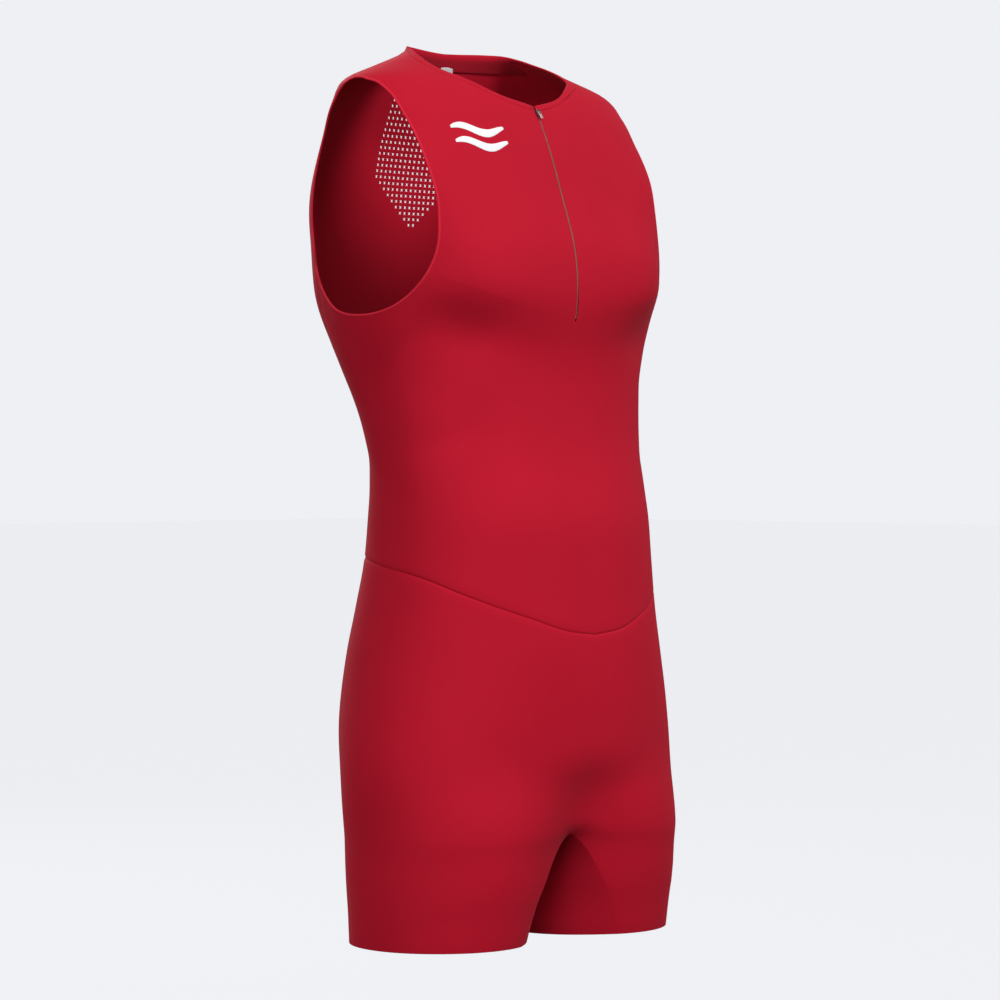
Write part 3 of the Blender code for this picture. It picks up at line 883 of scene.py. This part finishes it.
def inner_leg_skin():
    bm = bmesh.new()
    for side in (1, -1):
        lay_grid(bm, inner_leg_rows(side), INNER_COLUMNS, LEG_ROWS)
    settle(bm, SEAM_DRAW)
    return bm


top_front = panel("top_front_knit", top_front_skin(), "top_front")
top_back = panel("top_back_knit", top_back_skin(), "top_back")
shorts_front = panel("shorts_front_knit", shorts_skin(0.0, SHORTS_FRONT_COLUMNS), "shorts_front")
shorts_back = panel("shorts_back_knit", shorts_skin(1.0, SHORTS_BACK_COLUMNS), "shorts_back")
inner_leg_knit = panel("inner_leg_knit", inner_leg_skin(), "inner_leg_panel")


# ---------------------------------------------------------------- seams inside
SEAM_FOLD = 0.0035        # half width of the sewn-down seam folds
FOLD_WALL = 0.0006
SEAM_DEEP = -KNIT - 0.00025               # the side folds lie on the knit's inner face
WAIST_DEEP = SEAM_DEEP - FOLD_WALL        # the waist folds lie on the side folds
FOLD_STOP = 0.010         # the side folds end this far from the hem and the armhole


def seam_fold(name, place, along_count):
    """Flat sewn-down fold behind one seam; place(u, w) has w from -1 to 1 across it."""
    def spread(u, v):
        return place(u, 2 * v - 1)

    return patch(name, spread, along_count, 4, red_knit, FOLD_WALL)


def both_ways(u):
    """Side and share of one line that runs from right to left round the suit."""
    across = 2 * u - 1
    return (1 if across >= 0 else -1), abs(across)


def waist_front_fold(u, w):
    side, share = both_ways(u)
    around = SIDE * share
    return cloth_at(side, around, waist(around) + SEAM_FOLD * w, WAIST_DEEP)


def waist_back_fold(u, w):
    side, share = both_ways(u)
    around = 1 - (1 - SIDE) * share
    return cloth_at(-side, around, waist(around) + SEAM_FOLD * w, WAIST_DEEP)


def side_fold(side):
    def place(u, w):
        z = mix(HEM + FOLD_STOP, ARM_BACK[0][1] - FOLD_STOP, u)
        return cloth_at(side, SIDE + SEAM_FOLD * w / ROUND_WAY, z, SEAM_DEEP)
    return place


seam_folds = [
    seam_fold("waist_seam_front", waist_front_fold, 110),
    seam_fold("waist_seam_back", waist_back_fold, 60),
    seam_fold("side_seam_right", side_fold(-1), 100),
    seam_fold("side_seam_left", side_fold(1), 100),
]


# ---------------------------------------------------------------- turned edges
# from the cut edge into the cloth, and out from its outer face
TURNED_EDGE = (
    (0.0014, 0.00010),
    (0.0007, 0.00020),
    (0.0001, 0.00020),
    (-0.0004, -0.00015),
    (-0.0006, -0.00055),
    (-0.0004, -0.00100),
    (0.0002, -0.00135),
    (0.0015, -0.00150),
    (0.0045, -0.00145),
    (0.0085, -0.00130),
)


ROUND_STEP = 0.002        # small steps that the cloth's run is read over
UP_STEP = 0.001
EDGE_WALL = 0.0003        # wall of the skin of the turned edges
HEM_FOLD = ((0.0001, 0.00002),) + TURNED_EDGE[3:]
SAME_POINT = 1e-6         # where a fold's skin closes on itself
HEM_DROP = 0.0002         # the turned hem reaches this far below the cloth before it turns


def arm_loop():
    """The whole armhole edge as (around, height), front, top, back and under."""
    front = list(ARM_FRONT)
    back = list(reversed(ARM_BACK))
    under = list(reversed(ARM_UNDER))
    return front + back[1:] + under[1:]


def closed_reading(points, count):
    """Even, smoothly curved readings round a closed line of points."""
    table = measured(points[:-1] * 3)
    third = len(points) - 1
    start = table[third][0]
    end = table[2 * third][0]
    return [smooth_row(table, mix(start, end, k / count)) for k in range(count)]


def ways_at(side, around, z):
    """How the cloth runs round the body and up it, for one step of each."""
    round_way = cloth_at(side, around + ROUND_STEP, z) - cloth_at(side, around - ROUND_STEP, z)
    up_way = cloth_at(side, around, z + UP_STEP) - cloth_at(side, around, z - UP_STEP)
    return round_way / (2 * ROUND_STEP), up_way / (2 * UP_STEP)


def shift_on_body(side, around, z, way, distance):
    """Where one lands on the body after going a distance along a tangent way."""
    round_way, up_way = ways_at(side, around, z)
    a = round_way.dot(round_way)
    b = round_way.dot(up_way)
    c = up_way.dot(up_way)
    p = way.dot(round_way) * distance
    q = way.dot(up_way) * distance
    spread = a * c - b * b
    return around + (p * c - q * b) / spread, z + (q * a - p * b) / spread


def face_out(bm, middles):
    """Turn a skin so that its faces look away from points inside the fold."""
    uv = bm.loops.layers.uv.verify()
    bmesh.ops.recalc_face_normals(bm, faces=bm.faces)
    score = 0.0
    for face in bm.faces:
        u = sum(loop[uv].uv.x for loop in face.loops) / len(face.loops)
        middle = middles[int(u * len(middles)) % len(middles)]
        score += face.normal.dot(face.calc_center_median() - middle)
    if score < 0:
        bmesh.ops.reverse_faces(bm, faces=bm.faces)


def fold_skin(rows, middles):
    """Closed skin through rows of points, each row running across the fold."""
    count = len(rows)
    steps = len(rows[0]) - 1
    bm = bmesh.new()

    def place(u, v):
        return rows[round(u * count) % count][round(v * steps)]

    lay_grid(bm, place, count, steps)
    bmesh.ops.remove_doubles(bm, verts=bm.verts, dist=SAME_POINT)
    face_out(bm, middles)
    return bm


def arm_edge(side, count=160):
    """Turned edge round one armhole."""
    line = closed_reading(arm_loop(), count)
    places = [cloth_at(side, around, z) for around, z in line]
    middle = sum(places, Vector()) / count
    rows = []
    insides = []
    for k, (around, z) in enumerate(line):
        tangent = (places[(k + 1) % count] - places[k - 1]).normalized()
        round_way, up_way = ways_at(side, around, z)
        away = round_way.cross(up_way).normalized()
        into = away.cross(tangent).normalized()
        if into.dot(places[k] - middle) < 0:
            into = -into
        row = []
        for inward, out in TURNED_EDGE:
            at, height = shift_on_body(side, around, z, into, inward + SEAM_DRAW)
            row.append(cloth_at(side, at, height, out))
        rows.append(row)
        insides.append((row[1] + row[7]) / 2)
    return fold_skin(rows, insides)


# the armhole edges wear the lighter red knit, a painted highlight on the rolled edge
for side, word in ((-1, "right"), (1, "left")):
    piece = new_piece("arm_edge_" + word, arm_edge(side), edge_knit_painted_highlight)
    add_wall(piece, EDGE_WALL)


def leg_loop(side, inward, count_out=84, count_in=26):
    """Points round one leg, a little above its hem."""
    z = HEM + inward
    points = [cloth_at(side, k / count_out, z) for k in range(count_out + 1)]
    for k in range(1, count_in):
        point = inner_leg(1 - k / count_in, z)
        points.append(Vector((side * point.x, point.y, point.z)))
    return points


def leg_edge(side):
    """Turned hem round one leg."""
    columns = []
    for inward, out in HEM_FOLD:
        loop = leg_loop(side, max(inward, -HEM_DROP) + SEAM_DRAW)
        moved = []
        for k, point in enumerate(loop):
            tangent = loop[(k + 1) % len(loop)] - loop[k - 1]
            away = Vector((tangent.y, -tangent.x, 0.0)).normalized() * side
            moved.append(point + away * out + Vector((0, 0, min(inward + HEM_DROP, 0.0))))
        columns.append(moved)
    rows = [list(row) for row in zip(*columns)]
    return fold_skin(rows, [(row[0] + row[5]) / 2 for row in rows])


for side, word in ((-1, "right"), (1, "left")):
    piece = new_piece("leg_hem_" + word, leg_edge(side), red_knit)
    add_wall(piece, EDGE_WALL)


# ---------------------------------------------------------------- neck
# share of the way from the seam to the neck edge, and out from the cloth
BINDING_FORM = (
    (0.00, 0.00002),
    (0.10, 0.00014),
    (0.35, 0.00030),
    (0.65, 0.00034),
    (0.90, 0.00022),
    (1.01, -0.00015),
    (1.04, -0.00065),
    (0.99, -0.00115),
    (0.70, -0.00145),
    (0.30, -0.00145),
    (0.06, -0.00130),
)


FLAT_AT_ZIP = 0.45        # the fold's height at the zip, against the rest
FLAT_REACH = 0.03         # how far round the body it stays flatter
BINDING_COLUMNS = 70      # on each side


def near_zip(around):
    """The fold lies flatter where the slider rests on it."""
    return mix(FLAT_AT_ZIP, 1.0, min(around / FLAT_REACH, 1.0))


def neck_binding():
    """Folded band round the neck, open at the zip, its ends closed."""
    rows = []
    insides = []
    total = 2 * BINDING_COLUMNS
    for k in range(total + 1):
        side = -1 if k < BINDING_COLUMNS else 1
        step = k / BINDING_COLUMNS
        around = step if step <= 1 else 2 - step
        edge, seam = smooth_row(NECK, around)
        row = []
        for share, out in BINDING_FORM:
            point = cloth_at(side, around, mix(seam + SEAM_DRAW, edge, share), out * near_zip(around))
            if around < 0.5 and abs(point.x) < SLIT_HALF:
                point.x = side * SLIT_HALF
            row.append(point)
        rows.append(row)
        insides.append((row[3] + row[8]) / 2)
    steps = len(BINDING_FORM)
    bm = bmesh.new()

    def place(u, v):
        return rows[round(u * total)][round(v * steps) % steps]

    lay_grid(bm, place, total, steps)
    bmesh.ops.remove_doubles(bm, verts=bm.verts, dist=SAME_POINT)
    rim = [edge for edge in bm.edges if edge.is_boundary]
    bmesh.ops.holes_fill(bm, edges=rim, sides=0)
    face_out(bm, insides)
    return bm


binding = new_piece("neck_binding_fold", neck_binding(), red_knit)
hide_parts("neck_binding")


NECK_TAPE_END = 0.40      # how far round the body from the centre back
NECK_TAPE_TOP = 0.0014    # above the binding's seam
NECK_TAPE_WIDE = 0.0100
NECK_TAPE_IN = -KNIT - 0.0009


def back_tape(u, v):
    """Narrow tape over the back neck seam, inside."""
    side, share = both_ways(u)
    around = 1 - NECK_TAPE_END * share
    seam = smooth_row(NECK, around)[1]
    return cloth_at(side, around, seam + NECK_TAPE_TOP - NECK_TAPE_WIDE * v, NECK_TAPE_IN)


tape = patch("neck_tape_strip", back_tape, 64, 5, tape_weave, 0.0004)
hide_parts("back_neck_tape")

LABEL_MIDDLE = (0.0040, -0.0138)
LABEL_HALF = (0.0078, 0.0068)
LABEL_IN = -0.0024        # behind the knit and the tape
LABEL_CROWN = 0.0003
CORNER_PULL = 0.22        # how soft the label's corners are


def back_cloth(x, z, out):
    side = 1 if x >= 0 else -1
    return cloth_at(side, back_around(z, abs(x)), z, out)


def rounded_patch(u, v):
    """Square to a soft-cornered oblong, both from -1 to 1."""
    a = 2 * u - 1
    b = 2 * v - 1
    return a * sqrt(1 - CORNER_PULL * b * b), b * sqrt(1 - CORNER_PULL * a * a)


def label(u, v):
    a, b = rounded_patch(u, v)
    x = LABEL_MIDDLE[0] + LABEL_HALF[0] * a
    z = LABEL_MIDDLE[1] + LABEL_HALF[1] * b
    crown = LABEL_CROWN * (1 - a ** 4) * (1 - b ** 4)
    return back_cloth(x, z, LABEL_IN - crown)


label_piece = patch("neck_label_patch", label, 14, 12, label_weave, 0.0006)
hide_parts("neck_label")


# ---------------------------------------------------------------- zip
def front_around(x, z):
    half_width = smooth_row(TRUNK, z)[0]
    around = asin(min(x / half_width, 1.0) ** (1 / ROUNDNESS)) / pi
    for step in range(4):
        around += (x - on_body(around, z).x) / (pi * half_width)
        around = max(around, 0.0)
    return around


def front_cloth(x, z, out):
    side = 1 if x >= 0 else -1
    point = cloth_at(side, front_around(abs(x), z), z, out)
    return Vector((x, point.y, point.z))


COIL_LOW = SLIT_END + 0.0030
COIL_TOP = -0.0560
COIL_SINK = 0.00050       # middle of the teeth, behind the cloth's face
TOOTH_PITCH = 0.0012
TOOTH_SIZE = (0.00095, 0.00050, 0.0010)   # across, along, thick
TOOTH_OFF = 0.00038       # each row's middle, from the middle of the zip
TOOTH_BEVEL = 0.00012
TOOTH_RUN = 0.002         # a tooth leans as the front does this far above and below it
ZIP_TAPE_HALF = 0.0070
ZIP_TAPE_END = -0.2450
ZIP_TAPE_IN = -KNIT - 0.0010


def zip_tape(u, v):
    return front_cloth(ZIP_TAPE_HALF * (2 * u - 1), mix(ZIP_TAPE_END, COIL_TOP, v), ZIP_TAPE_IN)


zip_tape_piece = patch("zip_tape_strip", zip_tape, 10, 60, tape_weave, 0.0006)
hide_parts("zip_tape")


def zip_coil():
    """Two rows of small rounded teeth that mesh down the middle of the opening."""
    bm = bmesh.new()
    count = int((COIL_TOP - COIL_LOW) / TOOTH_PITCH)
    for k in range(count):
        z = COIL_LOW + (k + 0.5) * TOOTH_PITCH
        low = on_body(0.0, z - TOOTH_RUN)
        high = on_body(0.0, z + TOOTH_RUN)
        up = (high - low).normalized()
        across = Vector((1.0, 0.0, 0.0))
        out = across.cross(up).normalized()
        turn = Matrix((across, up, out)).transposed().to_4x4()
        turn.translation = on_body(0.0, z) - out * COIL_SINK
        for hand in (-1, 1):
            shift = Matrix.Translation((hand * TOOTH_OFF, hand * TOOTH_PITCH / 4, 0.0))
            size = Matrix.Diagonal(TOOTH_SIZE + (1.0,))
            bmesh.ops.create_cube(bm, size=1.0, matrix=turn @ shift @ size)
    bmesh.ops.bevel(
        bm, geom=bm.edges[:], offset=TOOTH_BEVEL, offset_type="OFFSET", segments=1,
        profile=0.5, affect="EDGES", clamp_overlap=True, material=-1,
    )
    return bm


coil = new_piece("zip_teeth", zip_coil(), coil_finish)
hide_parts("zip_coil")
for name, finish in (("zip_slider", slider_finish), ("zip_pull", pull_finish)):
    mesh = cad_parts[name].data
    mesh.materials.clear()
    mesh.materials.append(finish)


# ---------------------------------------------------------------- chest motif
BAND_ENDS = (-0.1040, -0.0480)            # across, from the middle of the suit
BAND_HEIGHTS = (("upper", -0.0745), ("lower", -0.0870))
BAND_WAVE = 0.0030        # rise and fall
BAND_WAVES = 1.1
BAND_START = 0.4          # where in its wave a band starts
BAND_HALF = 0.0036        # half height at its middle
BAND_TIP = 0.25           # its ends against its middle
BAND_OUT = 0.00012
BAND_CROWN = 0.00030


def wavy_band(height):
    """One raised printed band with narrow ends and a rounded face."""
    def place(u, v):
        x = mix(BAND_ENDS[0], BAND_ENDS[1], u)
        wave = BAND_WAVE * sin(2 * pi * BAND_WAVES * u + BAND_START)
        half = BAND_HALF * (BAND_TIP + (1 - BAND_TIP) * sin(pi * u) ** 0.6)
        rise = BAND_CROWN * (1 - (2 * v - 1) ** 4) * min(1.0, 12 * u, 12 * (1 - u))
        return front_cloth(x, height + wave + half * (2 * v - 1), BAND_OUT + rise)
    return place


for word, height in BAND_HEIGHTS:
    band = patch(
        "chest_print_" + word, wavy_band(height), 44, 8, print_finish, 0.0004,
    )
    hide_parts("chest_band_" + word)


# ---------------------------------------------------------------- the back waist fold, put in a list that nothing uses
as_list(seam_folds[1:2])


# ---------------------------------------------------------------- stage, light and camera
STAGE_TONE = (0.05, 0.05, 0.05, 1.0)
BACKDROP_TONE = (0.855, 0.870, 0.905, 1.0)
AMBIENT_TONE = (0.90, 0.90, 0.92, 1.0)
AMBIENT = 0.50
FLOOR_GLOW = 0.95         # seen brightness, without lighting the suit
FLOOR_Z = -1.10
FLOOR_REACH = 30.0

bm = bmesh.new()
bmesh.ops.create_grid(bm, x_segments=1, y_segments=1, size=FLOOR_REACH)
bmesh.ops.translate(bm, verts=bm.verts, vec=(0.0, 0.0, FLOOR_Z))
mesh = bpy.data.meshes.new("studio_floor")
bm.to_mesh(mesh)
bm.free()
floor = bpy.data.objects.new("studio_floor", mesh)
floor_finish = bpy.data.materials.new("studio_floor")
floor_finish.use_nodes = True
floor_shader = floor_finish.node_tree.nodes["Principled BSDF"]
floor_shader.inputs["Base Color"].default_value = STAGE_TONE
floor_shader.inputs["Roughness"].default_value = 1.0
floor_shader.inputs["Specular IOR Level"].default_value = 0.0
floor_shader.inputs["Emission Color"].default_value = BACKDROP_TONE
seen = floor_finish.node_tree.nodes.new("ShaderNodeLightPath")
glow = floor_finish.node_tree.nodes.new("ShaderNodeMath")
glow.operation = "MULTIPLY"
glow.inputs[1].default_value = FLOOR_GLOW
floor_finish.node_tree.links.new(seen.outputs["Is Camera Ray"], glow.inputs[0])
floor_finish.node_tree.links.new(glow.outputs["Value"], floor_shader.inputs["Emission Strength"])
mesh.materials.append(floor_finish)
bpy.context.scene.collection.objects.link(floor)

world = bpy.data.worlds.new("studio")
world.use_nodes = True
air = world.node_tree
backdrop = air.nodes["Background"]
backdrop.inputs["Color"].default_value = BACKDROP_TONE
ambient = air.nodes.new("ShaderNodeBackground")
ambient.inputs["Color"].default_value = AMBIENT_TONE
ambient.inputs["Strength"].default_value = AMBIENT
seen = air.nodes.new("ShaderNodeLightPath")
choice = air.nodes.new("ShaderNodeMixShader")
air.links.new(seen.outputs["Is Camera Ray"], choice.inputs["Fac"])
air.links.new(ambient.outputs["Background"], choice.inputs[1])
air.links.new(backdrop.outputs["Background"], choice.inputs[2])
air.links.new(choice.outputs["Shader"], air.nodes["World Output"].inputs["Surface"])
bpy.context.scene.world = world
bpy.context.scene.view_settings.view_transform = "Standard"


def soft_light(name, place, aim, size, power):
    """Round white lamp that points at one place."""
    data = bpy.data.lights.new(name, "AREA")
    data.shape = "DISK"
    data.size = size
    data.energy = power
    lamp = bpy.data.objects.new(name, data)
    lamp.location = place
    lamp.rotation_euler = (Vector(aim) - Vector(place)).to_track_quat("-Z", "Y").to_euler()
    bpy.context.scene.collection.objects.link(lamp)


MIDDLE = (0.0, 0.0, -0.36)
soft_light("key", (0.3, -4.0, 3.0), MIDDLE, 2.2, 178.0)
soft_light("back", (1.2, 3.6, 1.4), MIDDLE, 2.4, 70.0)
soft_light("fill", (-3.4, -1.6, 0.2), MIDDLE, 2.4, 52.0)

VIEW_FROM = 3.2
VIEW_HEIGHT = -0.35
TURN = radians(-45)
lens = bpy.data.cameras.new("view")
lens.sensor_width = 36.0
lens.lens = 131.9
lens.shift_x = 0.0245
lens.shift_y = -0.044
camera = bpy.data.objects.new("view", lens)
camera.location = (VIEW_FROM * sin(TURN), -VIEW_FROM * cos(TURN), VIEW_HEIGHT)
camera.rotation_euler = (pi / 2, 0.0, TURN)
bpy.context.scene.collection.objects.link(camera)
bpy.context.scene.camera = camera
